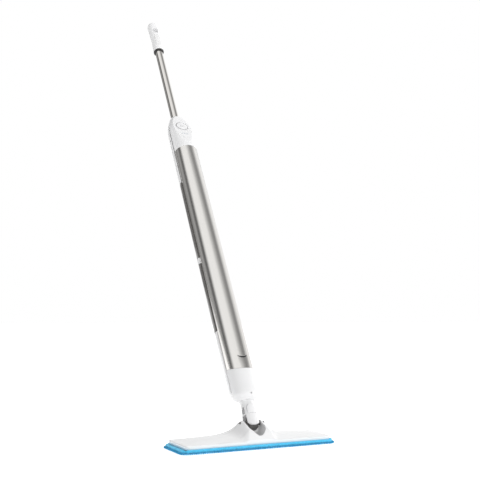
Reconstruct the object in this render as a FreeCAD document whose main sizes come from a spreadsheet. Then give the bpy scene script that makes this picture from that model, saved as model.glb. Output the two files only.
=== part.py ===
import FreeCAD, Part
import os

import Sketcher
from FreeCAD import Vector

# A steam mop: a long handle on a slim body with a metal front and a water tank
# at the back, a two-way joint, and a flat floor head with a microfibre pad.
# Row frame: the origin is the centre of the pad's underside, +X runs along the
# head, -Y is the side the user faces, +Z is up.
# Pole frame: the origin is the crossing of the two joint axes, z runs up the
# pole, -y is its front and +y its back. The pole leans back by lean_angle.

SIZES = [
    # the stance of the pole
    ("lean_angle", 30.4),
    ("pivot_height", 43.7),
    ("pivot_back", -3.8),
    # handle
    ("tube_radius", 10.0),
    ("tube_wall", 1.0),
    ("tube_back", 7.7),
    ("tube_insert", 45.0),
    ("grip_bottom", 1093.0),
    ("grip_top", 1206.0),
    ("grip_radius", 13.4),
    ("grip_waist", 12.7),
    ("grip_flare", 14.8),
    ("grip_ring_height", 2.5),
    ("grip_solid_top", 64.0),
    ("hang_slot_width", 14.6),
    ("hang_slot_height", 20.0),
    ("hang_slot_drop", 38.0),
    ("panel_width", 14.0),
    ("panel_length", 42.0),
    ("panel_height", 1132.0),
    ("panel_depth", 1.6),
    # body shells
    ("shell_radius", 31.0),
    ("shell_wall", 2.6),
    ("front_inset", 2.4),
    ("front_wall", 2.4),
    ("front_offset", 4.0),
    ("seam", -1.2),
    ("seam_gap", 0.3),
    ("metal_thickness", 0.8),
    ("metal_bottom", 118.0),
    ("metal_drop", 11.0),
    ("metal_top", 715.0),
    ("collar_top", 838.0),
    ("shoulder_length", 66.0),
    ("collar_top_radius", 13.4),
    ("gland_drop", 138.0),
    ("side_slot_drop", 87.0),
    ("side_slot_height", 11.0),
    ("housing_bottom", 46.0),
    ("housing_round", 15.0),
    ("rear_bottom", 50.0),
    ("rear_round", 24.0),
    ("chassis_inset", 3.8),
    ("chassis_wall", 2.2),
    ("chassis_back", 7.0),
    ("chassis_bottom", 98.0),
    ("crescent_width", 22.0),
    ("crescent_height", 136.4),
    # water tank
    ("tank_bottom", 212.0),
    ("tank_drop", 96.0),
    ("tank_wall", 1.8),
    ("tank_front", 8.0),
    ("tank_end_gap", 2.0),
    ("latch_height", 393.0),
    ("latch_size", 14.0),
    ("latch_gap", 1.3),
    ("filler_drop", 34.0),
    ("filler_radius", 8.0),
    ("valve_height", 232.0),
    ("valve_radius", 3.5),
    # control button
    ("button_drop", 47.0),
    ("button_tilt", 13.0),
    ("flat_drop", 110.0),
    ("bezel_radius", 16.6),
    ("button_radius", 14.3),
    ("button_gap", 0.35),
    ("lamp_radius", 1.4),
    ("lamp_pitch", 6.6),
    ("lamp_drop", 31.0),
    # neck and joint
    ("neck_radius", 14.4),
    ("neck_top", 66.0),
    ("lug_radius", 15.4),
    ("lug_drop", 7.7),
    ("lug_end", 17.3),
    ("fork_gap", 9.6),
    ("fork_depth", 16.0),
    ("pin_radius", 4.0),
    ("pin_clearance", 0.05),
    ("pin_reach", 27.5),
    ("stub_reach", 13.0),
    ("block_half", 9.0),
    ("block_drop", 12.0),
    ("key_width", 18.0),
    ("key_bottom", 17.0),
    ("key_top", 37.0),
    ("latch_slot", 6.0),
    # floor head
    ("pad_margin", 14.0),
    ("pad_overhang", 10.0),
    ("pad_thickness", 7.6),
    ("pad_corner", 16.0),
    ("head_length", 320.0),
    ("head_width", 95.0),
    ("head_corner", 11.0),
    ("head_edge", 7.6),
    ("head_lift", 0.5),
    ("crown_height", 26.5),
    ("crown_length", 120.0),
    ("crown_width", 52.0),
    ("cover_wall", 3.0),
    ("hump_top", 50.2),
    ("pocket_half", 17.8),
    ("trough_radius", 23.2),
    ("pocket_reach", 39.7),
    ("pocket_floor", 24.6),
    ("base_inset", 4.0),
    ("base_thickness", 2.4),
    ("strip_thickness", 1.0),
    ("screw_radius", 1.6),
    ("fit_gap", 0.3),
    ("press_gap", 0.05),
]

doc = FreeCAD.newDocument("SteamMop")
sheet = doc.addObject("Spreadsheet::Sheet", "dim")
for row, (alias, value) in enumerate(SIZES, start=1):
    sheet.set("A%d" % row, alias)
    sheet.set("B%d" % row, str(value))
    sheet.setAlias("B%d" % row, alias)
doc.recompute()

NODES = []
TURN = "create(<<rotation>>; create(<<vector>>; %s); %s)"


def number(formula):
    """The value that a formula on the sheet has now."""
    return float(sheet.evalExpression(str(formula)))


def place(x="0", y="0", z="0", axis="0; 0; 1", angle="0"):
    """A placement formula: a shift and a turn about an axis."""
    return "create(<<placement>>; create(<<vector>>; %s; %s; %s); %s)" % (x, y, z, TURN % (axis, angle))


POLE = place("0", "dim.pivot_back", "dim.pivot_height", "1; 0; 0", "-dim.lean_angle")


LOCAL = {}


def stand(piece, formula):
    """Places a primitive and remembers where."""
    LOCAL[piece.Name] = formula
    piece.setExpression("Placement", formula)


def on_pole(piece, *where):
    """Hands a finished sub-part to the pole's frame."""
    piece.setExpression("Placement", POLE + " * " + LOCAL.get(piece.Name, place(*where)))


def keep(piece, label):
    """Marks a finished sub-part; its label names its file."""
    piece.Label = label
    NODES.append(piece)
    return piece


# ---------------------------------------------------------------- sketches

def new_body(name):
    return doc.addObject("PartDesign::Body", name)


def origin_part(body, role):
    return [item for item in body.Origin.OriginFeatures if item.Role == role][0]


def new_sketch(body, role, offset="0"):
    sketch = body.newObject("Sketcher::SketchObject", body.Name + "_sketch")
    sketch.AttachmentSupport = [(origin_part(body, role), "")]
    sketch.MapMode = "FlatFace"
    sketch.setExpression("AttachmentOffset.Base.z", offset)
    return sketch


def pin_down(sketch, kind, *where):
    """Adds a dimension whose value comes from a formula."""
    index = sketch.addConstraint(Sketcher.Constraint(kind, *where[:-1], number(where[-1])))
    sketch.setExpression("Constraints[%d]" % index, where[-1])


def arc_edge(start, end, radius):
    """An arc of a signed radius: positive turns left, negative turns right."""
    chord = end - start
    half = chord.Length / 2
    rise = (radius * radius - half * half) ** 0.5
    side = Vector(-chord.y, chord.x, 0).normalize()
    centre = (start + end) / 2 + side * (rise if radius > 0 else -rise)
    circle = Part.Circle(centre, Vector(0, 0, 1), abs(radius))
    first, last = (start, end) if radius > 0 else (end, start)
    return Part.ArcOfCircle(circle, circle.parameter(first), circle.parameter(last))


def outline(body, role, corners, offset="0"):
    """A closed outline. A corner is (x, y), or (x, y, radius) where an arc leaves it."""
    sketch = new_sketch(body, role, offset)
    points = [Vector(number(corner[0]), number(corner[1]), 0) for corner in corners]
    ends = []
    for index, corner in enumerate(corners):
        start = points[index]
        end = points[(index + 1) % len(points)]
        if len(corner) == 3:
            bend = number(corner[2])
            sketch.addGeometry(arc_edge(start, end, bend))
            ends.append((1, 2) if bend > 0 else (2, 1))
        else:
            sketch.addGeometry(Part.LineSegment(start, end))
            ends.append((1, 2))
    for index in range(len(corners)):
        after = (index + 1) % len(corners)
        sketch.addConstraint(Sketcher.Constraint("Coincident", index, ends[index][1], after, ends[after][0]))
    for index, corner in enumerate(corners):
        pin_down(sketch, "DistanceX", -1, 1, index, ends[index][0], corner[0])
        pin_down(sketch, "DistanceY", -1, 1, index, ends[index][0], corner[1])
        if len(corner) == 3:
            bend = corner[2] if number(corner[2]) > 0 else "-(%s)" % corner[2]
            pin_down(sketch, "Radius", index, bend)
    return sketch


def circles(body, role, centres, radius, offset="0"):
    sketch = new_sketch(body, role, offset)
    for index, (x, y) in enumerate(centres):
        middle = Vector(number(x), number(y), 0)
        sketch.addGeometry(Part.Circle(middle, Vector(0, 0, 1), number(radius)))
        pin_down(sketch, "DistanceX", -1, 1, index, 3, x)
        pin_down(sketch, "DistanceY", -1, 1, index, 3, y)
        pin_down(sketch, "Radius", index, radius)
    return sketch


def box_corners(x0, x1, y0, y1):
    return [(x0, y0), (x1, y0), (x1, y1), (x0, y1)]


def round_corners(width, height, corner, middle="0"):
    """A rectangle about (0, middle) with round corners."""
    x, y, r = "(%s) / 2" % width, "(%s) / 2" % height, "(%s)" % corner
    low, high = "%s - %s" % (middle, y), "%s + %s" % (middle, y)
    return [("-(%s) + %s" % (x, r), low), ("%s - %s" % (x, r), low, r),
            (x, "%s + %s" % (low, r)), (x, "%s - %s" % (high, r), r),
            ("%s - %s" % (x, r), high), ("-(%s) + %s" % (x, r), high, r),
            ("-(%s)" % x, "%s - %s" % (high, r)), ("-(%s)" % x, "%s + %s" % (low, r), r)]


# ---------------------------------------------------------------- features

def pad(body, sketch, length):
    feature = body.newObject("PartDesign::Pad", body.Name + "_pad")
    feature.Profile = sketch
    feature.setExpression("Length", length)
    doc.recompute()
    return feature


def revolve(body, corners, role="XZ_Plane", axis="Z_Axis"):
    feature = body.newObject("PartDesign::Revolution", body.Name + "_turn")
    feature.Profile = outline(body, role, corners)
    feature.ReferenceAxis = (origin_part(body, axis), [""])
    feature.Angle = 360
    doc.recompute()
    return feature


def cut(body, sketch, length=None, both=True, along=False):
    """A pocket: through everything both ways, or one way, or to a depth."""
    before = body.Shape.Volume
    feature = body.newObject("PartDesign::Pocket", body.Name + "_cut")
    feature.Profile = sketch
    if length is None:
        feature.Type = 1
    else:
        feature.setExpression("Length", length)
    feature.Midplane = both
    feature.Reversed = along
    doc.recompute()
    if body.Shape.Volume > before - 0.01:
        raise ValueError("a cut in %s removes nothing" % body.Name)
    return feature


def turned(label, corners):
    """A sub-part turned about its own z axis."""
    body = new_body(label)
    revolve(body, corners)
    return keep(body, label)


def ring(label, inner, outer, low, high):
    return turned(label, box_corners(inner, outer, low, high))


def trim(body, low, high):
    """Cuts away what lies between two y values, all the way up."""
    cut(body, outline(body, "XY_Plane", box_corners("-60", "60", low, high)))


def solid_box(name, x0, x1, y0, y1, z0, z1):
    box = doc.addObject("Part::Box", name)
    box.setExpression("Length", "(%s) - (%s)" % (x1, x0))
    box.setExpression("Width", "(%s) - (%s)" % (y1, y0))
    box.setExpression("Height", "(%s) - (%s)" % (z1, z0))
    stand(box, place(x0, y0, z0))
    return box


def solid_rod(name, radius, length, x="0", y="0", z="0", axis="0; 0; 1", angle="0"):
    rod = doc.addObject("Part::Cylinder", name)
    rod.setExpression("Radius", radius)
    rod.setExpression("Height", length)
    stand(rod, place(x, y, z, axis, angle))
    return rod


def joined(name, pieces):
    fuse = doc.addObject("Part::MultiFuse", name)
    fuse.Shapes = pieces
    return fuse


def minus(name, base, tools):
    """The base with each tool cut out of it."""
    for index, tool in enumerate(tools):
        result = doc.addObject("Part::Cut", "%s_%d" % (name, index))
        result.Base = base
        result.Tool = tool
        base = result
    return base


def shared(name, first, second):
    both = doc.addObject("Part::Common", name)
    both.Base = first
    both.Tool = second
    return both


# ---------------------------------------------------------------- handle
BORE = "dim.tube_radius + dim.press_gap"
ring("handle_tube", "dim.tube_radius - dim.tube_wall", "dim.tube_radius",
     "(dim.collar_top - dim.tube_insert)",
     "dim.grip_top - dim.grip_solid_top")
ring("grip_ring", BORE, "dim.grip_radius + 0.5", "dim.grip_bottom - dim.grip_ring_height", "dim.grip_bottom")
ring("tube_socket", BORE, "dim.collar_top_radius - dim.shell_wall - dim.press_gap + 2",
     "(dim.collar_top - dim.tube_insert)", "(dim.collar_top - dim.tube_insert) + 18")

grip = turned("grip_sleeve", [
    (BORE, "dim.grip_bottom"), ("dim.grip_radius", "dim.grip_bottom"),
    ("dim.grip_waist", "dim.grip_bottom + 45"), ("dim.grip_flare", "dim.grip_top - dim.grip_flare - 3"),
    ("dim.grip_flare", "dim.grip_top - dim.grip_flare", "dim.grip_flare"),
    ("0", "dim.grip_top"), ("0", "dim.grip_top - dim.grip_solid_top + 0.5"),
    (BORE, "dim.grip_top - dim.grip_solid_top + 0.5")])
SLOT_MIDDLE = "dim.grip_top - dim.hang_slot_drop"
cut(grip, outline(grip, "XZ_Plane", round_corners("dim.hang_slot_width", "dim.hang_slot_height", "4",
    SLOT_MIDDLE)))
PANEL_BACK = "dim.grip_waist - dim.panel_depth + 0.5"
cut(grip, outline(grip, "XZ_Plane", round_corners("dim.panel_width + 2 * dim.press_gap",
    "dim.panel_length + 2 * dim.press_gap", "dim.panel_width / 2", "dim.panel_height"), PANEL_BACK),
    both=False, along=True)
panel = new_body("grip_front_panel")
pad(panel, outline(panel, "XZ_Plane", round_corners("dim.panel_width", "dim.panel_length",
    "dim.panel_width / 2 - dim.press_gap", "dim.panel_height"), PANEL_BACK + " + dim.press_gap"),
        "dim.panel_depth")
keep(panel, "grip_front_panel")
for piece in NODES:
    on_pole(piece, "0", "dim.tube_back", "0")

# ---------------------------------------------------------------- collar shells
# Shares of the shoulder's height, and of the way from the top radius to the full one.
SHOULDER = [(0.0, 1.0), (0.24, 0.955), (0.52, 0.74), (0.78, 0.40), (1.0, 0.0)]


def station(name, radius, back, height):
    circle = doc.addObject("Part::Circle", name)
    circle.setExpression("Radius", radius)
    circle.setExpression("Placement", place("0", back, height))
    return circle


def shoulder(name, radius, back, start, inset="0"):
    """A solid that runs straight up and then draws in to the tube."""
    turn_in = "(dim.collar_top - dim.shoulder_length) - 12"
    straight = solid_rod(name + "_straight", "%s - %s" % (radius, inset), "%s - (%s)" % (turn_in, start),
                         "0", back, start)
    levels = [station(name + "_turn_in", "%s - %s" % (radius, inset), back, turn_in)]
    for index, (rise, share) in enumerate(SHOULDER):
        height = "dim.collar_top - dim.shoulder_length + %s * (dim.shoulder_length - %s)" % (rise, inset)
        size = "dim.collar_top_radius + %s * (%s - dim.collar_top_radius) - %s" % (share, radius, inset)
        shift = "dim.tube_back * %s + (%s) * %s" % (1 - share, back, share)
        levels.append(station("%s_%d" % (name, index), size, shift, height))
    loft = doc.addObject("Part::Loft", name + "_loft")
    loft.Sections = levels
    loft.Solid = True
    loft.Ruled = False
    return joined(name, [straight, loft])


REAR_START = "(dim.metal_top - dim.tank_drop) + dim.tank_end_gap"
TUBE_HOLE = ("dim.tube_radius + dim.press_gap", "80", "0", "dim.tube_back", "dim.collar_top - 40")
rear_up = minus("rear_up", shoulder("rear_outer", "dim.shell_radius", "0", REAR_START), [
    shoulder("rear_inner", "dim.shell_radius", "0", REAR_START + " - 10", "dim.shell_wall"),
    solid_box("rear_trim", "-60", "60", "-60", "dim.seam", "0", "2000"),
    solid_rod("rear_tube_hole", *TUBE_HOLE),
    solid_rod("gland_hole", "5 + dim.press_gap", "40", "0", "10", "dim.collar_top - dim.gland_drop",
              "1; 0; 0", "-90"),
    solid_box("side_slot", "-40", "-20", "1", "4.5", "dim.collar_top - dim.side_slot_drop",
              "dim.collar_top - dim.side_slot_drop + dim.side_slot_height")])
on_pole(keep(rear_up, "rear_shell_upper"))

# The flat that carries the button: a plane tilted back from the front.
BUTTON_Y = ("-(dim.front_offset + dim.shell_radius - dim.front_inset)"
            " + (dim.flat_drop - dim.button_drop) * tan(dim.button_tilt)")
BUTTON = place("0", BUTTON_Y, "(dim.collar_top - dim.button_drop)", "1; 0; 0", "90 - dim.button_tilt")
BELOW_BUTTON = "2 * (dim.collar_top - dim.button_drop - dim.metal_top)"


def behind_flat(name, depth):
    """Everything behind the button's flat, less a depth."""
    box = doc.addObject("Part::Box", name)
    box.setExpression("Length", "200")
    box.setExpression("Width", "150 + " + BELOW_BUTTON)
    box.setExpression("Height", "100")
    box.setExpression("Placement", BUTTON + " * " + place("-100", "-" + BELOW_BUTTON, "-100 - (%s)" % depth))
    return box


def button_rod(name, radius, low, high, x="0", y="0"):
    rod = doc.addObject("Part::Cylinder", name)
    rod.setExpression("Radius", radius)
    rod.setExpression("Height", "(%s) - (%s)" % (high, low))
    stand(rod, BUTTON + " * " + place(x, y, low))
    return rod


LAMPS = [("left", "-dim.lamp_pitch - 1"), ("middle", "-1"), ("right", "dim.lamp_pitch - 1")]
FRONT_START = "dim.metal_top + dim.seam_gap"
front_outer = shared("front_flat", shoulder("front_outer", "(dim.shell_radius - dim.front_inset)",
                                            "-dim.front_offset",
                                            FRONT_START),
                     behind_flat("flat_plane", "0"))
front_inner = shared("front_flat_in", shoulder("front_inner", "(dim.shell_radius - dim.front_inset)",
                                               "-dim.front_offset",
                     FRONT_START + " - 10", "dim.front_wall"), behind_flat("flat_plane_in",
                         "dim.front_wall"))
lamp_holes = [button_rod("lamp_hole_" + side, "dim.lamp_radius + dim.press_gap", "-8", "8", x,
                         "-dim.lamp_drop")
              for side, x in LAMPS]
collar = minus("collar", front_outer, [
    front_inner, solid_box("collar_trim", "-60", "60", "dim.seam - dim.seam_gap", "60", "0", "2000"),
    solid_rod("front_tube_hole", *TUBE_HOLE),
    button_rod("button_hole", "dim.bezel_radius + dim.press_gap", "-9", "20")] + lamp_holes)
on_pole(keep(collar, "collar_front"))

# ---------------------------------------------------------------- button and its works
bezel = minus("bezel", button_rod("bezel_disc", "dim.bezel_radius", "-5", "0.6"),
              [button_rod("bezel_hole", "dim.button_radius + dim.button_gap", "-9", "9")])
on_pole(keep(bezel, "button_bezel"))
power = joined("power", [button_rod("button_disc", "dim.button_radius", "-3", "1.2"),
                         button_rod("button_stem", "3", "-7", "-2.9")])
on_pole(keep(power, "power_button"))
on_pole(keep(button_rod("switch", "4.5", "-11", "-8.6"), "power_switch"))
for side, x in LAMPS:
    on_pole(keep(button_rod("lamp_" + side, "dim.lamp_radius", "-3.4", "0.25", x, "-dim.lamp_drop"),
                 "lamp_" + side))
board = doc.addObject("Part::Box", "board")
for name, formula in (("Length", "36"), ("Width", "62"), ("Height", "1.6")):
    board.setExpression(name, formula)
stand(board, BUTTON + " * " + place("-18", "-62", "-12.6"))
on_pole(keep(board, "control_board"))
gland = minus("gland", joined("gland_body", [
    solid_rod("gland_tube", "5", "14", "0", "26", "dim.collar_top - dim.gland_drop", "1; 0; 0", "-90"),
    solid_rod("gland_flange", "7.5", "3", "0", "dim.shell_radius + 0.1",
              "dim.collar_top - dim.gland_drop", "1; 0; 0", "-90")]),
    [solid_rod("gland_bore", "3", "60", "0", "10", "dim.collar_top - dim.gland_drop", "1; 0; 0", "-90")])
on_pole(keep(gland, "cord_gland"))


# ---------------------------------------------------------------- metal front
metal = ring("front_shell", "(dim.shell_radius - dim.front_inset) - dim.metal_thickness",
             "(dim.shell_radius - dim.front_inset)",
             "dim.metal_bottom - dim.metal_drop - 1", "dim.metal_top")
# The shell's own axis stands front_offset ahead of the pole's.
SEAM_FRONT = "dim.seam - dim.seam_gap + dim.front_offset"
trim(metal, SEAM_FRONT, "60")


def slanted(low, high, shift):
    """The slanting lower edge of the metal, lower at the front, as a side-view outline."""
    edge_front = "dim.metal_bottom - dim.metal_drop + " + shift
    edge_seam = "dim.metal_bottom + " + shift
    return [("-(dim.shell_radius - dim.front_inset) - 1", edge_front),
            ("-(dim.shell_radius - dim.front_inset) - 1", low), (high, low),
            (high, edge_seam)]


cut(metal, outline(metal, "YZ_Plane", slanted("dim.metal_bottom - 60", SEAM_FRONT, "0")))
HALF_CRESCENT = "dim.crescent_width / 2"
CRESCENT = [("-(%s)" % HALF_CRESCENT, "dim.crescent_height + 2", "dim.crescent_width * 0.535"),
            (HALF_CRESCENT, "dim.crescent_height + 2", "-dim.crescent_width * 0.75")]
cut(metal, outline(metal, "XZ_Plane", CRESCENT), both=False, along=True)
crescent = ring("crescent_inlay", "(dim.shell_radius - dim.front_inset) - dim.metal_thickness - 0.5",
                "(dim.shell_radius - dim.front_inset) - dim.metal_thickness - 0.1",
                    "dim.crescent_height - 12", "dim.crescent_height + 10")
trim(crescent, "-20", "60")
for piece in (metal, crescent):
    on_pole(piece, "0", "-dim.front_offset", "0")

# ---------------------------------------------------------------- chassis
SIDE_BACK = "dim.chassis_back + dim.front_offset"
chassis = new_body("chassis")


def d_outline(inset):
    r = "(dim.shell_radius - dim.chassis_inset) - " + inset
    back = SIDE_BACK + " - " + inset
    return [("-(%s)" % r, "0", r), ("0", "-(%s)" % r, r), (r, "0"), (r, back), ("-(%s)" % r, back)]


pad(chassis, outline(chassis, "XY_Plane", d_outline("0"), "dim.chassis_bottom"),
    "dim.metal_top - 1 - dim.chassis_bottom")
cut(chassis, outline(chassis, "XY_Plane", d_outline("dim.chassis_wall"), "dim.chassis_bottom"))
cut(chassis, circles(chassis, "XZ_Plane", [("0", "dim.valve_height")], "6 + dim.press_gap"), both=False)
cut(chassis, outline(chassis, "YZ_Plane", slanted("dim.metal_bottom - 60", SEAM_FRONT + " + 0.8",
    "dim.seam_gap")))
keep(chassis, "chassis")
on_pole(chassis, "0", "-dim.front_offset", "0")

# ---------------------------------------------------------------- lower housings
HOUSING_TOP = "dim.metal_bottom + 1"
IN_FRONT = "(dim.shell_radius - dim.front_inset) - dim.front_wall"
housing = turned("lower_front_housing", [
    (IN_FRONT, HOUSING_TOP), (IN_FRONT, "dim.housing_bottom + dim.housing_round",
                              "-(dim.housing_round - dim.front_wall)"),
    ("(dim.shell_radius - dim.front_inset) - dim.housing_round", "dim.housing_bottom + dim.front_wall"),
    ("0", "dim.housing_bottom + dim.front_wall"), ("0", "dim.housing_bottom"),
    ("(dim.shell_radius - dim.front_inset) - dim.housing_round", "dim.housing_bottom", "dim.housing_round"),
    ("(dim.shell_radius - dim.front_inset)",
     "dim.housing_bottom + dim.housing_round"), ("(dim.shell_radius - dim.front_inset)", HOUSING_TOP)])
trim(housing, SEAM_FRONT, "60")
cut(housing, outline(housing, "YZ_Plane", [
    ("-(dim.shell_radius - dim.front_inset) - 1", "dim.metal_bottom - dim.metal_drop - dim.seam_gap"),
    (SEAM_FRONT, "dim.metal_bottom - dim.seam_gap"), (SEAM_FRONT, "dim.metal_bottom + 30"),
    ("-(dim.shell_radius - dim.front_inset) - 1", "dim.metal_bottom + 30")]))
cut(housing, circles(housing, "XY_Plane", [("0", "dim.front_offset")], "dim.neck_radius + 0.1"))
cut(housing, circles(housing, "XZ_Plane", [("0", "dim.housing_bottom + 7")], "1.7", "10"), both=False,
    along=True)
on_pole(housing, "0", "-dim.front_offset", "0")

IN_REAR = "dim.shell_radius - dim.shell_wall"
REAR_TOP = "dim.tank_bottom - dim.tank_end_gap"
rear_low = turned("rear_shell_lower", [
    (IN_REAR, REAR_TOP), (IN_REAR, "dim.rear_bottom + dim.rear_round", "-(dim.rear_round - dim.shell_wall)"),
    ("dim.shell_radius - dim.rear_round", "dim.rear_bottom + dim.shell_wall"),
    ("0", "dim.rear_bottom + dim.shell_wall"), ("0", "dim.rear_bottom"),
    ("dim.shell_radius - dim.rear_round", "dim.rear_bottom", "dim.rear_round"),
    ("dim.shell_radius", "dim.rear_bottom + dim.rear_round"), ("dim.shell_radius", REAR_TOP)])
trim(rear_low, "-60", "dim.seam")
cut(rear_low, circles(rear_low, "XY_Plane", [("0", "0")], "dim.neck_radius + 0.1"))
on_pole(rear_low)

seat = ring("tank_seat", "0", IN_REAR + " - dim.press_gap", REAR_TOP + " - 5", REAR_TOP)
trim(seat, "-60", "dim.chassis_back + dim.fit_gap")
on_pole(seat)

# ---------------------------------------------------------------- water tank


def on_circle(radius, level):
    """How far a circle about the pole's axis reaches sideways at a level."""
    return "sqrt((%s)^2 - (%s)^2)" % (radius, level)


TANK_LIP = "dim.seam + 0.6"
LIP_REACH = on_circle("dim.shell_radius", TANK_LIP)
TANK_SIDE = "(dim.shell_radius - dim.chassis_inset) + 0.4"
tank = new_body("water_tank")
pad(tank, outline(tank, "XY_Plane", [
    (LIP_REACH, TANK_LIP, "dim.shell_radius"), ("0", "dim.shell_radius", "dim.shell_radius"),
    ("-(%s)" % LIP_REACH, TANK_LIP), ("-(%s)" % TANK_SIDE, TANK_LIP), ("-(%s)" % TANK_SIDE,
        "dim.tank_front"),
    (TANK_SIDE, "dim.tank_front"), (TANK_SIDE,
                                    TANK_LIP)], "dim.tank_bottom"),
                                        "(dim.metal_top - dim.tank_drop) - dim.tank_bottom")
IN_TANK = "dim.shell_radius - dim.tank_wall"
CAVITY_FRONT = "dim.tank_front + dim.tank_wall"
CAVITY_REACH = on_circle(IN_TANK, CAVITY_FRONT)
cut(tank, outline(tank, "XY_Plane", [
    (CAVITY_REACH, CAVITY_FRONT, IN_TANK), ("0", IN_TANK, IN_TANK), ("-(%s)" % CAVITY_REACH, CAVITY_FRONT)],
    "dim.tank_bottom + dim.tank_wall"), "(dim.metal_top - dim.tank_drop) - dim.tank_bottom - 2 * dim.tank_wall", both=False, along=True)
cut(tank, circles(tank, "XZ_Plane", [("0", "(dim.metal_top - dim.tank_drop - dim.filler_drop)")],
                  "dim.filler_radius", "-20"), both=False)
cut(tank, circles(tank, "XZ_Plane", [("0", "dim.valve_height")], "dim.valve_radius + dim.press_gap", "-5"),
    "8", both=False)
LATCH_LOW = "dim.latch_height - dim.latch_size / 2"
LATCH_BACK = "dim.tank_front + 1"
for side in ("-1", "1"):
    low, high = sorted(("%s * ((dim.shell_radius - dim.chassis_inset) + 0.1)" % side,
                        "%s * (dim.shell_radius + 2)" % side),
                       key=number)
    cut(tank, outline(tank, "XY_Plane", box_corners(low, high, "dim.seam - 1", LATCH_BACK + " - 1.3"),
        LATCH_LOW + " - dim.latch_gap"), "dim.latch_size + 2 * dim.latch_gap", both=False, along=True)
keep(tank, "water_tank")
on_pole(tank)

# Two catches on the chassis fill the notches at the tank's waist.
LATCH_OUT = "dim.shell_radius + 0.3"
for side in ("left", "right"):
    catch = new_body("tank_latch_" + side)
    near = "(dim.shell_radius - dim.chassis_inset) + 0.05"
    front, back = "dim.seam + 0.4", LATCH_BACK + " - 2.6"
    corners = [(near, front), (on_circle(LATCH_OUT, front), front, LATCH_OUT),
               (on_circle(LATCH_OUT, back), back), (near, back)]
    if side == "left":
        corners = [("-(%s)" % near, back), ("-(%s)" % on_circle(LATCH_OUT, back), back, LATCH_OUT),
                   ("-(%s)" % on_circle(LATCH_OUT, front), front), ("-(%s)" % near, front)]
    pad(catch, outline(catch, "XY_Plane", corners, LATCH_LOW), "dim.latch_size")
    on_pole(keep(catch, catch.Name))


def back_rod(name, radius, low, high, height, x="0"):
    """A rod along the pole's y axis."""
    return solid_rod(name, radius, "(%s) - (%s)" % (high, low), x, low, height, "1; 0; 0", "-90")


LID = "dim.shell_radius + 0.2"
cap = joined("cap", [
    back_rod("cap_plug", "dim.filler_radius - dim.pin_clearance", "dim.shell_radius - 3.5", LID,
             "(dim.metal_top - dim.tank_drop - dim.filler_drop)"),
    back_rod("cap_lid", "dim.filler_radius + 4", LID, "dim.shell_radius + 3.2",
             "(dim.metal_top - dim.tank_drop - dim.filler_drop)"),
    solid_box("cap_grip", "-9", "9", "dim.shell_radius + 3", "dim.shell_radius + 7",
              "(dim.metal_top - dim.tank_drop - dim.filler_drop) - 1.5",
                  "(dim.metal_top - dim.tank_drop - dim.filler_drop) + 1.5")])
on_pole(keep(cap, "filler_cap"))
valve = minus("valve", back_rod("valve_tube", "dim.valve_radius", "1.2", "10.2", "dim.valve_height"),
              [back_rod("valve_bore", "1.6", "-2", "20", "dim.valve_height")])
on_pole(keep(valve, "tank_valve"))
seal = minus("seal", back_rod("seal_outer", "6", "dim.chassis_back - dim.chassis_wall - 0.2",
                              "dim.chassis_back + 0.2",
                              "dim.valve_height"),
             [back_rod("seal_bore", "dim.valve_radius + dim.pin_clearance", "-2", "20", "dim.valve_height")])
on_pole(keep(seal, "tank_seal"))

# ---------------------------------------------------------------- water and steam works
elbow = minus("elbow", back_rod("elbow_cup", "5.5", "-5.5", "3.5", "dim.valve_height"),
              [back_rod("elbow_bore", "dim.valve_radius + 0.4", "0.8", "9", "dim.valve_height")])
on_pole(keep(elbow, "inlet_elbow"))
PUMP_LOW, PUMP_HIGH = "290", "340"
BOILER_LOW, BOILER_HIGH, BOILER_Y = "132", "222", "-12"
on_pole(keep(solid_rod("hose_in", "2.5", PUMP_LOW + " - dim.valve_height - 5.5", "0", "-2.5",
                       "dim.valve_height + 5.5"),
             "inlet_hose"))
on_pole(keep(solid_box("pump_case", "-15", "15", "-22", "2", PUMP_LOW, PUMP_HIGH), "pump"))
on_pole(keep(solid_rod("hose_mid", "2.2", PUMP_LOW + " - " + BOILER_HIGH, "8.2", BOILER_Y, BOILER_HIGH),
             "pressure_hose"))
boiler = turned("boiler", [("0", BOILER_LOW), ("10.5", BOILER_LOW), ("10.5", BOILER_HIGH),
                           ("0", BOILER_HIGH)])
on_pole(boiler, "0", BOILER_Y, "0")
on_pole(keep(back_rod("thermo", "7", BOILER_Y + " + 10.7", BOILER_Y + " + 13.7", "176"), "thermostat"))
on_pole(keep(solid_rod("hose_out", "2.5", BOILER_LOW + " - dim.neck_top + 14", "0", "-4",
                       "dim.neck_top - 14"),
             "steam_hose"))

# ---------------------------------------------------------------- neck
neck = new_body("neck")
revolve(neck, [
    ("0", "-dim.lug_drop"), ("dim.lug_radius + 0.6", "-dim.lug_drop"), ("dim.lug_radius + 0.6", "12"),
    ("dim.neck_radius - 0.8", "34"), ("dim.neck_radius - 0.8", "dim.housing_bottom - 2"),
    ("dim.neck_radius", "dim.housing_bottom - 1"), ("dim.neck_radius", "dim.neck_top - 8"),
    ("dim.neck_radius + 4", "dim.neck_top - 8"), ("dim.neck_radius + 4", "dim.neck_top"), ("0",
        "dim.neck_top")])
cut(neck, outline(neck, "YZ_Plane", box_corners("-dim.fork_gap", "dim.fork_gap", "-dim.lug_radius - 1",
                                                "dim.fork_depth")))
LUG_EDGE = "dim.lug_end - dim.lug_drop - sqrt(dim.lug_end^2 - dim.lug_radius^2)"
for sign, bend in (("", "-dim.lug_end"), ("-", "dim.lug_end")):
    far = "%s(dim.lug_radius + 4)" % sign
    cut(neck, outline(neck, "XZ_Plane", [
        (sign + "dim.lug_radius", LUG_EDGE, bend), ("0", "-dim.lug_drop"), ("0", "-dim.lug_drop - 2"),
        (far, "-dim.lug_drop - 2"), (far, LUG_EDGE)]))
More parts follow.
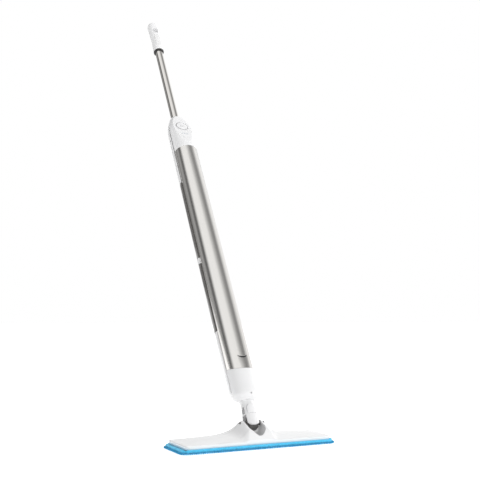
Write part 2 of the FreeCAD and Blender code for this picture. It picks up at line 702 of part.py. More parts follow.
cut(neck, circles(neck, "XZ_Plane", [("0", "0")], "dim.pin_radius + dim.pin_clearance"),
    "2 * dim.stub_reach + 0.2")
cut(neck, circles(neck, "XY_Plane", [("0", "0")], "6.6", "dim.fork_depth + 5"), both=False, along=True)


def arch(grow):
    """The release key's outline: straight sides under a round top."""
    half = "(dim.key_width / 2 + %s)" % grow
    spring_line = "dim.key_top - dim.key_width / 2"
    return [("-" + half, "dim.key_bottom - " + grow), (half, "dim.key_bottom - " + grow),
            (half, spring_line, half), ("0", spring_line + " + " + half, half), ("-" + half, spring_line)]


KEY_FLOOR = "dim.neck_radius - 6"
KEY_TRAVEL = "2.6"
cut(neck, outline(neck, "XZ_Plane", arch("dim.button_gap"), KEY_FLOOR), both=False, along=True)
SLOT_LOW, SLOT_HIGH = "19", "33"
cut(neck, outline(neck, "YZ_Plane", box_corners("-dim.latch_slot / 2 - 4", "dim.latch_slot / 2 - 4",
                                                SLOT_LOW, SLOT_HIGH), "-9.4"), both=False, along=False)
on_pole(keep(neck, "neck"))

key_blank = doc.addObject("PartDesign::Body", "key_blank")
pad(key_blank, outline(key_blank, "XZ_Plane", arch("0"), KEY_FLOOR + " + " + KEY_TRAVEL), "20")
key = shared("key", key_blank, solid_rod("key_face", "dim.lug_radius + 1", "80", "0", "0", "0"))
on_pole(keep(key, "release_key"))
on_pole(keep(solid_box("side_tab", "-dim.neck_radius - 1.6", "-11.4", "-6.6", "-1.4", SLOT_LOW + " + 0.5",
                       SLOT_LOW + " + 9"), "side_latch"))
on_pole(keep(joined("screw", [
    solid_rod("screw_head", "1.6", "4", "0", "-(dim.shell_radius - dim.front_inset - 6.1)",
              "dim.housing_bottom + 7", "1; 0; 0", "90"),
    solid_rod("screw_shank", "1.1", "4", "0", "-(dim.shell_radius - dim.front_inset - 10)",
              "dim.housing_bottom + 7", "1; 0; 0", "90")]), "housing_screw"))

# ---------------------------------------------------------------- cross block
block = joined("block", [
    solid_box("block_core", "-dim.block_half", "dim.block_half", "-dim.fork_gap + 0.4", "dim.fork_gap - 0.4",
              "-dim.block_drop", "dim.block_half"),
    solid_rod("tilt_stubs", "dim.pin_radius", "2 * dim.pin_reach", "-dim.pin_reach", "0", "0",
              "0; 1; 0", "90"),
    back_rod("swivel_stubs", "dim.pin_radius", "-dim.stub_reach", "dim.stub_reach", "0")])
on_pole(keep(block, "cross_block"))

# ---------------------------------------------------------------- floor head
RIM_LOW = "dim.pad_thickness + dim.head_lift"
RIM_HIGH = RIM_LOW + " + dim.head_edge"


def slab(name, length, width, corner, low, high):
    body = new_body(name)
    pad(body, outline(body, "XY_Plane", round_corners(length, width, corner), low),
        "(%s) - (%s)" % (high, low))
    return body


def crown(name, shrink, drop):
    """The sloping top: a loft from the head's outline up to a smaller one."""
    body = new_body(name)
    low = outline(body, "XY_Plane", round_corners("dim.head_length - " + shrink,
        "dim.head_width - " + shrink,
                                                  "dim.head_corner"), RIM_HIGH + " - 0.5")
    high = outline(body, "XY_Plane", round_corners("dim.crown_length - " + shrink,
        "dim.crown_width - " + shrink,
                                                   "dim.head_corner"), "dim.crown_height - " + drop)
    loft = body.newObject("PartDesign::AdditiveLoft", name + "_loft")
    loft.Profile = low
    loft.Sections = [high]
    doc.recompute()
    return body


# The hump's side view: distances from the joint, and how far below its top it stands there.
BELL = [(56, 26.0), (50, 23.6), (45, 20.0), (41, 16.2), (37, 12.4), (33, 8.4), (29, 4.8), (25.5, 2.3),
        (21.5, 0.6),
        (17, 0.0)]
dome = new_body("dome")
revolve(dome, [("0", "dim.pad_thickness + 6"), ("56", "dim.pad_thickness + 6")]
        + [(str(reach), "dim.hump_top - %s" % fall) for reach, fall in BELL] + [("0", "dim.hump_top")])
dome.setExpression("Placement", place("0", "dim.pivot_back", "0"))
hump = shared("hump", dome, solid_box("hump_box", "-80", "80", "-dim.head_width / 2",
                                      "dim.head_width / 2", "10", "60"))
blank = joined("cover_blank", [slab("cover_edge", "dim.head_length", "dim.head_width", "dim.head_corner",
                                    RIM_LOW, RIM_HIGH), crown("cover_crown", "1", "0"), hump])
SEAT_GAP = "2 * (dim.base_inset - dim.fit_gap)"
BASE_HIGH = "dim.pad_thickness + dim.strip_thickness + dim.base_thickness"
PIVOT = ("dim.pivot_back", "dim.pivot_height")
POCKET_FRONT = "dim.pivot_back - dim.pocket_reach + dim.pocket_half"
POCKET_BACK = "dim.pivot_back + dim.pocket_reach - dim.pocket_half"
cover = minus("cover", blank, [
    joined("pocket", [
        solid_box("pocket_run", "-dim.pocket_half", "dim.pocket_half", POCKET_FRONT, POCKET_BACK,
                  "dim.pocket_floor", "70"),
        solid_rod("pocket_front", "dim.pocket_half", "70 - dim.pocket_floor", "0", POCKET_FRONT,
                  "dim.pocket_floor"),
        solid_rod("pocket_back", "dim.pocket_half", "70 - dim.pocket_floor", "0", POCKET_BACK,
                  "dim.pocket_floor")]),
    solid_rod("lean_trough", "dim.trough_radius", "100", "0", "3", "dim.pivot_height", "1; 0; 0", "-90"),
    solid_rod("ear_bores", "dim.pin_radius + dim.pin_clearance", "2 * dim.pin_reach + 1.4",
              "-dim.pin_reach - 0.7",
              PIVOT[0], PIVOT[1], "0; 1; 0", "90"),
    slab("base_seat", "dim.head_length - " + SEAT_GAP, "dim.head_width - " + SEAT_GAP, "dim.head_corner - 3",
         "0", BASE_HIGH),
    slab("hollow", "dim.head_length - 14", "dim.head_width - 14", "dim.head_corner - 4",
         BASE_HIGH + " - 0.1",
         RIM_HIGH + " - dim.cover_wall + 0.4")])
keep(cover, "head_cover")

base = new_body("base_plate")
pad(base, outline(base, "XY_Plane", round_corners("dim.head_length - 2 * dim.base_inset",
    "dim.head_width - 2 * dim.base_inset", "dim.head_corner - 4"),
        "dim.pad_thickness + dim.strip_thickness"),
    "dim.base_thickness")
jets = circles(base, "XY_Plane", [("-90", "0")], "1.5")
first_jet = cut(base, jets)
row_of_jets = base.newObject("PartDesign::LinearPattern", "jet_row")
row_of_jets.Originals = [first_jet]
row_of_jets.Direction = (origin_part(base, "X_Axis"), [""])
row_of_jets.Length = 180
row_of_jets.Occurrences = 10
base.Tip = row_of_jets
SCREW_X, SCREW_Y = "dim.head_length / 2 - 18", "dim.head_width / 2 - 9.2"
corners = [(sx + "(%s)" % SCREW_X, sy + "(%s)" % SCREW_Y) for sx in ("", "-") for sy in ("", "-")]
cut(base, circles(base, "XY_Plane", corners, "dim.screw_radius + dim.press_gap"))
keep(base, "base_plate")

for end, x in (("front", "-dim.head_width / 2 + 12"), ("back", "dim.head_width / 2 - 24")):
    strip = solid_box("strip_" + end, "-dim.head_length / 2 + 22", "dim.head_length / 2 - 22", x,
                      x + " + 12",
                      "dim.pad_thickness", "dim.pad_thickness + dim.strip_thickness")
    keep(strip, "hook_strip_" + end)
for index, (x, y) in enumerate(corners, start=1):
    bolt = joined("bolt_%d" % index, [
        solid_rod("bolt_head_%d" % index, "dim.screw_radius * 1.9", "0.8", x, y,
                  "dim.pad_thickness + dim.strip_thickness - 0.8"),
        solid_rod("bolt_shank_%d" % index, "dim.screw_radius", "dim.base_thickness + 1.2", x, y,
                  "dim.pad_thickness + dim.strip_thickness - 0.1")])
    keep(bolt, "head_screw_%d" % index)
manifold = minus("manifold", solid_box("manifold_box", "-105", "105", "-7", "7", BASE_HIGH,
                                       BASE_HIGH + " + 1.9"),
                 [solid_box("manifold_run", "-102", "102", "-4.5", "4.5", BASE_HIGH, BASE_HIGH + " + 0.9")])
keep(manifold, "steam_manifold")
mop = slab("mop_pad", "(dim.head_length + dim.pad_margin)", "(dim.head_width + dim.pad_overhang)",
           "dim.pad_corner", "0", "dim.pad_thickness")
keep(mop, "mop_pad")

# ---------------------------------------------------------------- check and write
doc.recompute()
for item in doc.Objects:
    if "Invalid" in item.State or "Error" in item.State:
        raise ValueError("%s did not build: %s" % (item.Label, item.State))
for node in NODES:
    if node.Shape.isNull() or not node.Shape.isValid():
        raise ValueError("%s has no valid shape" % node.Label)
os.makedirs("parts", exist_ok=True)
for node in NODES:
    node.Shape.exportStep("parts/%s.step" % node.Label)
    box = node.Shape.BoundBox
    print("%-20s solids %d volume %9.0f  x %.1f %.1f  y %.1f %.1f  z %.1f %.1f" % (
        node.Label, len(node.Shape.Solids), node.Shape.Volume, box.XMin, box.XMax, box.YMin, box.YMax,
        box.ZMin, box.ZMax))
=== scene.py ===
import math

import bmesh
import bpy
from mathutils import Matrix, Vector, noise


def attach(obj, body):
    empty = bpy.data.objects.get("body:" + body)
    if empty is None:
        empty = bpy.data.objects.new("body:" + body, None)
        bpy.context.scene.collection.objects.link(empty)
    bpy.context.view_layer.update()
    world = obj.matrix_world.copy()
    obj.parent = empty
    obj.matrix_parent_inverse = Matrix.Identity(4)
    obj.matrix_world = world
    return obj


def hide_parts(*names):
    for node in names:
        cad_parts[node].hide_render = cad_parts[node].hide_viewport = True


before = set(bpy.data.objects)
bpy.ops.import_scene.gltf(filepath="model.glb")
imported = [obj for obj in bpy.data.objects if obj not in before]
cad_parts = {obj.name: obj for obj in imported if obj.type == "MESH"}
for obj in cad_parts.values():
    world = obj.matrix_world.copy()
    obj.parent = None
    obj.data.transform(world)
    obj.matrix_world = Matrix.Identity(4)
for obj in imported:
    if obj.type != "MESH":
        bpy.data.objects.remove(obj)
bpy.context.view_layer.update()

MM = 0.001

# The stance of the mop: the pole leans back about the joint over the head.
LEAN = math.radians(30.4)
PIVOT = Vector((0, -3.8, 43.7)) * MM
POLE = Matrix.Translation(PIVOT) @ Matrix.Rotation(-LEAN, 4, "X")


# ---------------------------------------------------------------- making pieces

def keep_mesh(name, bm, finish, body=None, smooth_angle=35):
    """Turns a finished bmesh into a piece with its material."""
    mesh = bpy.data.meshes.new(name)
    bmesh.ops.recalc_face_normals(bm, faces=bm.faces)
    bm.to_mesh(mesh)
    bm.free()
    piece = bpy.data.objects.new(name, mesh)
    bpy.context.scene.collection.objects.link(piece)
    mesh.materials.append(finish)
    mesh.shade_smooth()
    mesh.set_sharp_from_angle(angle=math.radians(smooth_angle))
    if body:
        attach(piece, body)
    return piece


def add_modifier(piece, kind, **settings):
    modifier = piece.modifiers.new(kind.lower(), kind)
    for key, value in settings.items():
        setattr(modifier, key, value)
    return modifier


def apply_modifiers(piece):
    """Bakes a piece's modifiers into its mesh."""
    graph = bpy.context.evaluated_depsgraph_get()
    mesh = bpy.data.meshes.new_from_object(piece.evaluated_get(graph))
    piece.modifiers.clear()
    piece.data = mesh


# A bend sharper than this, in degrees, counts as a corner to be rounded.
CORNER = 28


def softened(node, name, finish, edge, body, dissolve=0.6):
    """A copy of a hard-edged moulding with its corners rounded, which stands for it."""
    bm = bmesh.new()
    bm.from_mesh(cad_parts[node].data)
    bmesh.ops.remove_doubles(bm, verts=bm.verts, dist=0.00002)
    bmesh.ops.dissolve_limit(bm, angle_limit=math.radians(dissolve), verts=bm.verts, edges=bm.edges)
    sharp = [e for e in bm.edges if e.is_manifold and e.calc_face_angle(0) > math.radians(CORNER)]
    if edge:
        bmesh.ops.bevel(bm, geom=sharp, offset=edge, segments=3, profile=0.5, affect="EDGES", material=-1,
                        clamp_overlap=True, miter_outer="ARC")
    piece = keep_mesh(name, bm, finish, body, 40)
    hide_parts(node)
    return piece


def remoulded(node, name, finish, grain, body, rounds=6):
    """A copy of a moulding with an even skin and melted edges, which stands for it."""
    bm = bmesh.new()
    bm.from_mesh(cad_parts[node].data)
    bmesh.ops.remove_doubles(bm, verts=bm.verts, dist=0.00001)
    piece = keep_mesh(name, bm, finish, body)
    add_modifier(piece, "REMESH", mode="VOXEL", voxel_size=grain)
    add_modifier(piece, "SMOOTH", factor=0.5, iterations=rounds)
    apply_modifiers(piece)
    piece.data.shade_smooth()
    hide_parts(node)
    return piece


# ---------------------------------------------------------------- finishes

def new_finish(name, colour, roughness, metallic=0.0, **sockets):
    """A material with a Principled shader whose uniform values are set on its own sockets."""
    finish = bpy.data.materials.new(name)
    finish.use_nodes = True
    tree = finish.node_tree
    shader = tree.nodes["Principled BSDF"]
    shader.inputs["Base Color"].default_value = (*colour, 1)
    shader.inputs["Roughness"].default_value = roughness
    shader.inputs["Metallic"].default_value = metallic
    for key, value in sockets.items():
        shader.inputs[key.replace("_", " ")].default_value = value
    return finish, tree, shader


def effect_group(name, inputs, outputs):
    group = bpy.data.node_groups.new(name, "ShaderNodeTree")
    for label, kind, value in inputs:
        item = group.interface.new_socket(name=label, in_out="INPUT", socket_type=kind)
        item.default_value = value
    for label, kind in outputs:
        group.interface.new_socket(name=label, in_out="OUTPUT", socket_type=kind)
    return group, group.nodes.new("NodeGroupInput"), group.nodes.new("NodeGroupOutput")


def math_node(tree, operation, first, second):
    node = tree.nodes.new("ShaderNodeMath")
    node.operation = operation
    for index, value in enumerate((first, second)):
        if isinstance(value, (int, float)):
            node.inputs[index].default_value = value
        else:
            tree.links.new(value, node.inputs[index])
    return node.outputs[0]


def handling_group():
    """Moulded plastic as it is used: a fine grain, a faint unevenness of tone and soft smears."""
    group, entry, exit_node = effect_group(
        "handling_marks",
        [("Colour", "NodeSocketColor", (0.9, 0.9, 0.9, 1)), ("Grain Scale", "NodeSocketFloat", 900.0),
         ("Base Roughness", "NodeSocketFloat", 0.3), ("Smears", "NodeSocketFloat", 0.08),
         ("Tone", "NodeSocketFloat", 0.03)],
        [("Colour", "NodeSocketColor"), ("Roughness", "NodeSocketFloat"), ("Height", "NodeSocketFloat")])
    nodes, links = group.nodes, group.links
    place = nodes.new("ShaderNodeTexCoord")
    grain = nodes.new("ShaderNodeTexNoise")
    grain.inputs["Detail"].default_value = 3.0
    links.new(place.outputs["Object"], grain.inputs["Vector"])
    links.new(entry.outputs["Grain Scale"], grain.inputs["Scale"])
    smears = nodes.new("ShaderNodeTexNoise")
    smears.inputs["Scale"].default_value = 14.0
    smears.inputs["Detail"].default_value = 5.0
    smears.inputs["Distortion"].default_value = 0.6
    links.new(place.outputs["Object"], smears.inputs["Vector"])
    centred = math_node(group, "SUBTRACT", smears.outputs["Fac"], 0.5)
    rough = math_node(group, "MULTIPLY", centred, entry.outputs["Smears"])
    rough = math_node(group, "ADD", rough, entry.outputs["Base Roughness"])
    links.new(rough, exit_node.inputs["Roughness"])
    tone = math_node(group, "MULTIPLY", centred, entry.outputs["Tone"])
    tone = math_node(group, "ADD", tone, 1.0)
    scaled = nodes.new("ShaderNodeVectorMath")
    scaled.operation = "SCALE"
    links.new(entry.outputs["Colour"], scaled.inputs[0])
    links.new(tone, scaled.inputs["Scale"])
    links.new(scaled.outputs[0], exit_node.inputs["Colour"])
    links.new(grain.outputs["Fac"], exit_node.inputs["Height"])
    return group


HANDLING = handling_group()


def moulded(name, colour, roughness, grain_scale=900.0, grain_depth=0.02, smears=0.08, tone=0.03, **sockets):
    finish, tree, shader = new_finish(name, colour, roughness, **sockets)
    marks = tree.nodes.new("ShaderNodeGroup")
    marks.node_tree = HANDLING
    marks.inputs["Colour"].default_value = (*colour, 1)
    marks.inputs["Grain Scale"].default_value = grain_scale
    marks.inputs["Base Roughness"].default_value = roughness
    marks.inputs["Smears"].default_value = smears
    marks.inputs["Tone"].default_value = tone
    bump = tree.nodes.new("ShaderNodeBump")
    bump.inputs["Strength"].default_value = grain_depth
    bump.inputs["Distance"].default_value = 0.0002
    tree.links.new(marks.outputs["Height"], bump.inputs["Height"])
    tree.links.new(marks.outputs["Colour"], shader.inputs["Base Color"])
    tree.links.new(marks.outputs["Roughness"], shader.inputs["Roughness"])
    tree.links.new(bump.outputs["Normal"], shader.inputs["Normal"])
    return finish


def brushing_group():
    """Fine lines that run along the pole, as a drawing or brushing wheel leaves them."""
    group, entry, exit_node = effect_group(
        "brushing", [("Line Scale", "NodeSocketFloat", 2200.0), ("Base Roughness", "NodeSocketFloat", 0.25),
                     ("Spread", "NodeSocketFloat", 0.12)],
        [("Roughness", "NodeSocketFloat"), ("Height", "NodeSocketFloat")])
    nodes, links = group.nodes, group.links
    place = nodes.new("ShaderNodeTexCoord")
    turn = nodes.new("ShaderNodeMapping")
    turn.inputs["Rotation"].default_value = (LEAN, 0, 0)
    along = nodes.new("ShaderNodeMapping")
    along.inputs["Scale"].default_value = (1.0, 1.0, 0.012)
    links.new(place.outputs["Object"], turn.inputs["Vector"])
    links.new(turn.outputs["Vector"], along.inputs["Vector"])
    lines = nodes.new("ShaderNodeTexNoise")
    lines.inputs["Detail"].default_value = 4.0
    lines.inputs["Roughness"].default_value = 0.65
    links.new(along.outputs["Vector"], lines.inputs["Vector"])
    links.new(entry.outputs["Line Scale"], lines.inputs["Scale"])
    centred = math_node(group, "SUBTRACT", lines.outputs["Fac"], 0.5)
    rough = math_node(group, "MULTIPLY", centred, entry.outputs["Spread"])
    rough = math_node(group, "ADD", rough, entry.outputs["Base Roughness"])
    links.new(rough, exit_node.inputs["Roughness"])
    links.new(lines.outputs["Fac"], exit_node.inputs["Height"])
    return group


BRUSHING = brushing_group()


def brushed(name, colour, roughness, line_scale=2200.0, depth=0.05, spread=0.12, **sockets):
    finish, tree, shader = new_finish(name, colour, roughness, 1.0, **sockets)
    lines = tree.nodes.new("ShaderNodeGroup")
    lines.node_tree = BRUSHING
    lines.inputs["Line Scale"].default_value = line_scale
    lines.inputs["Base Roughness"].default_value = roughness
    lines.inputs["Spread"].default_value = spread
    bump = tree.nodes.new("ShaderNodeBump")
    bump.inputs["Strength"].default_value = depth
    bump.inputs["Distance"].default_value = 0.0001
    tree.links.new(lines.outputs["Height"], bump.inputs["Height"])
    tree.links.new(lines.outputs["Roughness"], shader.inputs["Roughness"])
    tree.links.new(bump.outputs["Normal"], shader.inputs["Normal"])
    return finish


white_gloss = moulded("white_gloss", (0.86, 0.86, 0.865), 0.22, grain_scale=300.0,
                      grain_depth=0.003, Coat_Weight=0.25, Coat_Roughness=0.08)
white_satin = moulded("white_satin", (0.80, 0.80, 0.80), 0.42, grain_depth=0.08)
grey_plastic = moulded("grey_plastic", (0.38, 0.38, 0.39), 0.38)
black_plastic = moulded("black_plastic", (0.018, 0.018, 0.019), 0.34)
black_rubber = moulded("black_rubber", (0.02, 0.02, 0.02), 0.62, grain_depth=0.15, smears=0.15)
smoked = moulded("smoked", (0.13, 0.125, 0.12), 0.16, grain_depth=0.0, smears=0.05, Coat_Weight=0.4,
                 Coat_Roughness=0.04)
metal_front = brushed("metal_front", (0.80, 0.785, 0.76), 0.20)
metal_tube = brushed("metal_tube", (0.78, 0.76, 0.73), 0.07, depth=0.02, spread=0.05)
plain_steel = brushed("plain_steel", (0.55, 0.55, 0.56), 0.32)
cast_metal = moulded("cast_metal", (0.16, 0.155, 0.15), 0.45, grain_scale=500, grain_depth=0.25,
                     Metallic=0.8)
boiler_metal = moulded("boiler_metal", (0.5, 0.5, 0.51), 0.5, grain_scale=600, grain_depth=0.4, Metallic=1.0)
board_green = moulded("board_green", (0.02, 0.16, 0.06), 0.4)
hose_finish = moulded("hose_finish", (0.72, 0.70, 0.66), 0.4)
lamp_lens = moulded("lamp_lens", (0.55, 0.60, 0.66), 0.15)
hook_tape = moulded("hook_tape", (0.06, 0.06, 0.065), 0.8, grain_scale=1500, grain_depth=0.8)


def dress(finish, *nodes):
    """Gives carried-over nodes their material."""
    for node in nodes:
        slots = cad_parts[node].material_slots
        for entry in slots:
            entry.material = finish


dress(white_gloss, "tank_latch_left", "tank_latch_right")
dress(white_satin, "chassis", "tank_seat", "tank_valve", "base_plate")
dress(black_plastic, "tube_socket", "power_switch", "crescent_inlay", "inlet_elbow", "pump")
dress(grey_plastic, "steam_manifold")
dress(black_rubber, "cord_gland", "tank_seal")
dress(board_green, "control_board")
dress(hose_finish, "inlet_hose", "pressure_hose", "steam_hose")
dress(boiler_metal, "boiler")
dress(plain_steel, "thermostat", "housing_screw", "head_screw_1", "head_screw_2", "head_screw_3",
      "head_screw_4")
dress(lamp_lens, "lamp_left", "lamp_middle", "lamp_right")
dress(hook_tape, "hook_strip_front", "hook_strip_back")

# ---------------------------------------------------------------- mouldings with rounded edges
remoulded("grip_sleeve", "grip", white_gloss, 0.0007, "wand")
softened("grip_front_panel", "grip_inlay", white_satin, 0.0004, "wand")
softened("grip_ring", "grip_end_ring", black_plastic, 0.0004, "wand")
softened("handle_tube", "tube", metal_tube, 0, "wand", dissolve=0.05)
remoulded("collar_front", "collar_face", white_gloss, 0.0008, "wand", 4)
remoulded("rear_shell_upper", "collar_back", white_gloss, 0.0009, "wand", 4)
softened("button_bezel", "button_ring", white_gloss, 0.0004, "wand")
softened("power_button", "steam_button", white_gloss, 0.0006, "power_button")
softened("front_shell", "front_metal", metal_front, 0.00025, "wand")
softened("lower_front_housing", "housing_front", white_gloss, 0.0004, "wand")
softened("rear_shell_lower", "housing_back", white_gloss, 0.0004, "wand")
softened("water_tank", "tank_shell", smoked, 0.0006, "tank")
softened("filler_cap", "filler_bung", black_rubber, 0.0006, "filler_cap")
softened("neck", "neck_fork", white_gloss, 0.0006, "wand")
softened("release_key", "neck_key", white_gloss, 0.0006, "release_key")
softened("side_latch", "neck_latch", grey_plastic, 0.0004, "side_latch")
softened("cross_block", "joint_cross", cast_metal, 0.0007, "cross_block")

# ---------------------------------------------------------------- head cover
HEAD_HALF_LENGTH = 160.0
HEAD_HALF_WIDTH = 47.5
HEAD_CORNER = 11.0
COVER_LOW = 8.1
COVER_EDGE = 15.7
HUMP_TOP = 50.2
HUMP_BACK = -3.8
POCKET_HALF = 17.8
POCKET_REACH = 39.7
POCKET_FLOOR = 20.4
WAY_OUT = 23.4
RIM_ROUND = 2.0
BLEND = 6.0
COVER_SPOKES = 640
COVER_ROUNDS = 56
CREASE_SOFT = 1.2

# The hump: its crest line towards the front as distances back, heights and half widths, and how
# far its flank has fallen at distances out from the crest.
CREST_HEIGHT = [(-60, 8.0), (-47.5, 18.5), (-44, 26.0), (-41, 31.5), (-37, 36.0), (-25, 42.3),
                (-11, 47.6), (-3.8, 50.2)]
CREST_HALF = [(-60, 31.0), (-47.5, 26.5), (-41, 22.0), (-33, 20.0), (-3.8, 20.5)]
FLANK = [(0, 0.0), (1.5, 0.5), (4, 2.3), (8, 6.2), (12, 10.4), (16, 14.0), (21, 17.8), (28, 21.8),
         (37, 26.0),
         (55, 32.0), (400, 60.0)]


def along(line, where):
    """The value of a line of (place, value) points at a place."""
    if where <= line[0][0]:
        return line[0][1]
    for (near, low), (far, high) in zip(line, line[1:]):
        if where <= far:
            return low + (high - low) * (where - near) / (far - near)
    return line[-1][1]


def hump_height(x, y):
    """The hump before it is blended into the plate: a crested front and a round back."""
    if y < HUMP_BACK:
        return along(CREST_HEIGHT, y) - along(FLANK, max(0.0, abs(x) - along(CREST_HALF, y)))
    reach = math.hypot(x, y - HUMP_BACK)
    return HUMP_TOP - along(FLANK, max(0.0, reach - CREST_HALF[-1][1]))


def cover_height(x, y):
    """How high the head's top stands at a point, in millimetres."""
    across = min(1.0, abs(x) / HEAD_HALF_LENGTH)
    side = min(1.0, abs(y) / HEAD_HALF_WIDTH)
    crown = COVER_EDGE + 10.8 * (1 - across ** 1.5) * (1 - side ** 2.4)
    nearby = [(0, 0), (-CREASE_SOFT, 0), (CREASE_SOFT, 0), (0, -CREASE_SOFT), (0, CREASE_SOFT)]
    hump = sum(hump_height(x + dx, y + dy) for dx, dy in nearby) / len(nearby)
    if y > 0:
        near_edge = max(0.0, 1 - (HEAD_HALF_WIDTH - y) / 10.0)
        hump -= max(0.0, hump - COVER_EDGE) * 0.5 * near_edge ** 1.5
    share = max(0.0, min(1.0, 0.5 + 0.5 * (hump - crown) / BLEND))
    height = crown * (1 - share) + hump * share + BLEND * share * (1 - share)
    # The way out at the back, where the pole leans down over the head.
    way_out = max(0.0, min(1.0, (y - 1.0) / 5.0))
    beside = max(0.0, abs(x) - WAY_OUT)
    groove = PIVOT.z / MM - math.sqrt(max(0.0, WAY_OUT ** 2 - x ** 2)) + 3.0 * beside
    return height - way_out * max(0.0, height - groove)


def stadium_reach(dx, dy, half, reach):
    """The distance from the middle of a round-ended slot to its edge, in a direction."""
    straight = reach - half
    if abs(dx) * straight >= abs(dy) * half:
        return half / abs(dx)
    centre = math.copysign(straight, dy)
    forward = dy * centre
    return forward + math.sqrt(max(0.0, forward * forward - centre * centre + half * half))


def outline_reach(dx, dy, middle, half_length, half_width, corner):
    """The distance from a point on the cross line to a round-cornered rectangle, in a direction."""
    low, high = 0.0, 400.0
    for _ in range(40):
        reach = (low + high) / 2
        x, y = abs(dx * reach), abs(middle + dy * reach)
        over_x, over_y = x - (half_length - corner), y - (half_width - corner)
        inside = x < half_length and y < half_width
        if over_x > 0 and over_y > 0:
            inside = math.hypot(over_x, over_y) < corner
        low, high = (reach, high) if inside else (low, reach)
    return low


def make_cover():
    """The head's top: a skin laid ring by ring from the pocket's floor out to the lower edge."""
    bm = bmesh.new()
    made = bmesh.ops.create_circle(bm, cap_ends=True, segments=COVER_SPOKES, radius=1.0)
    ring = made["verts"]
    turns = [(v.co.x, v.co.y) for v in ring]
    inner = [stadium_reach(dx, dy, POCKET_HALF, POCKET_REACH) for dx, dy in turns]
    outer = [outline_reach(dx, dy, HUMP_BACK, HEAD_HALF_LENGTH, HEAD_HALF_WIDTH,
                           HEAD_CORNER) for dx, dy in turns]

    def settle(points, spot):
        for vert, (dx, dy), near, far in zip(points, turns, inner, outer):
            reach, height = spot(near, far)
            x, y = dx * reach, HUMP_BACK + dy * reach
            vert.co = (x, y, height(x, y) if callable(height) else height)

    def next_ring(points, spot):
        grown = [bm.verts.new(v.co) for v in points]
        for here, there, up, over in zip(points, points[1:] + points[:1], grown, grown[1:] + grown[:1]):
            bm.faces.new((here, there, over, up))
        settle(grown, spot)
        return grown

    # The floor and the wall of the pocket, then the rounded rim, and out over the top to the edge.
    settle(ring, lambda near, far: (near - 3.5, POCKET_FLOOR))
    ring = next_ring(ring, lambda near, far: (near - 1.2, POCKET_FLOOR + 0.8))
    ring = next_ring(ring, lambda near, far: (near, POCKET_FLOOR + 3.0))
    for step in range(6):
        turn = math.radians(90 * step / 5)
        out, down = RIM_ROUND * (1 - math.cos(turn)), RIM_ROUND * (1 - math.sin(turn))
        ring = next_ring(ring, lambda near, far: (
            near + out, lambda x, y: cover_height(x, y) - down - 0.25 * down))
    for step in range(1, COVER_ROUNDS + 1):
        share = (step / COVER_ROUNDS) ** 1.35
        ring = next_ring(ring, lambda near, far: (
            near + RIM_ROUND + (far - 0.9 - near - RIM_ROUND) * share, cover_height))
    for out, down in ((0.45, 0.15), (0.15, 0.5), (0.0, 1.2)):
        ring = next_ring(ring, lambda near, far: (far - out, lambda x, y: cover_height(x, y) - down))
    for inward, height in ((0.0, COVER_LOW + 0.5), (0.5, COVER_LOW), (3.8, COVER_LOW),
                           (3.8, COVER_LOW + 3.2)):
        ring = next_ring(ring, lambda near, far: (far - inward, height))
    bm.faces.new(ring)
    bmesh.ops.scale(bm, vec=(MM, MM, MM), verts=bm.verts)
    cover = keep_mesh("head_shell", bm, white_gloss, "head", 50)
    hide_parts("head_cover")


make_cover()

# ---------------------------------------------------------------- microfibre pad
PAD_HALF_LENGTH = 168.0
PAD_HALF_WIDTH = 53.5
PAD_CORNER = 16.0
PAD_HIGH = 7.6
PAD_ROLL = 3.0
PAD_INSET = 1.6
PAD_VOXEL = 2.8
SWELL_PRESSURE = 0.3
SWELL_CAP = 1.4
SWELL_STEPS = 20
TUFTS_ROUND = 230


def terry_group():
    """Looped pile: a field of round loops, with painted shade darkening the colour in the gaps between them
    and painted light on their tops, and strands of uneven colour.
    """
    group, entry, exit_node = effect_group(
        "terry_pile", [("Colour", "NodeSocketColor", (0.1, 0.5, 0.8, 1)),
                       ("Loop Scale", "NodeSocketFloat", 420.0),
                       ("Gap Shade", "NodeSocketFloat", 0.45)],
        [("Colour", "NodeSocketColor"), ("Height", "NodeSocketFloat")])
    nodes, links = group.nodes, group.links
    place = nodes.new("ShaderNodeTexCoord")
    loops = nodes.new("ShaderNodeTexVoronoi")
    loops.feature = "F1"
    links.new(place.outputs["Object"], loops.inputs["Vector"])
    links.new(entry.outputs["Loop Scale"], loops.inputs["Scale"])
    height = math_node(group, "SUBTRACT", 1.0, loops.outputs["Distance"])
    strands = nodes.new("ShaderNodeTexNoise")
    strands.inputs["Scale"].default_value = 60.0
    strands.inputs["Detail"].default_value = 4.0
    links.new(place.outputs["Object"], strands.inputs["Vector"])
    # Painted shade and light: the colour is darkened in the gaps between loops and lightened on the loop
    # tops, by the Gap Shade amount.
    shade = math_node(group, "SUBTRACT", height, 0.6)
    shade = math_node(group, "MULTIPLY", shade, entry.outputs["Gap Shade"])
    patch = math_node(group, "SUBTRACT", strands.outputs["Fac"], 0.5)
    patch = math_node(group, "MULTIPLY", patch, 0.25)
    # The painted gap shade and the strands' own uneven tone together scale the colour.
    bright = math_node(group, "ADD", math_node(group, "ADD", shade, patch), 1.0)
    scaled = nodes.new("ShaderNodeVectorMath")
    scaled.operation = "SCALE"
    links.new(entry.outputs["Colour"], scaled.inputs[0])
    links.new(bright, scaled.inputs["Scale"])
    links.new(scaled.outputs[0], exit_node.inputs["Colour"])
    links.new(height, exit_node.inputs["Height"])
    return group


TERRY = terry_group()


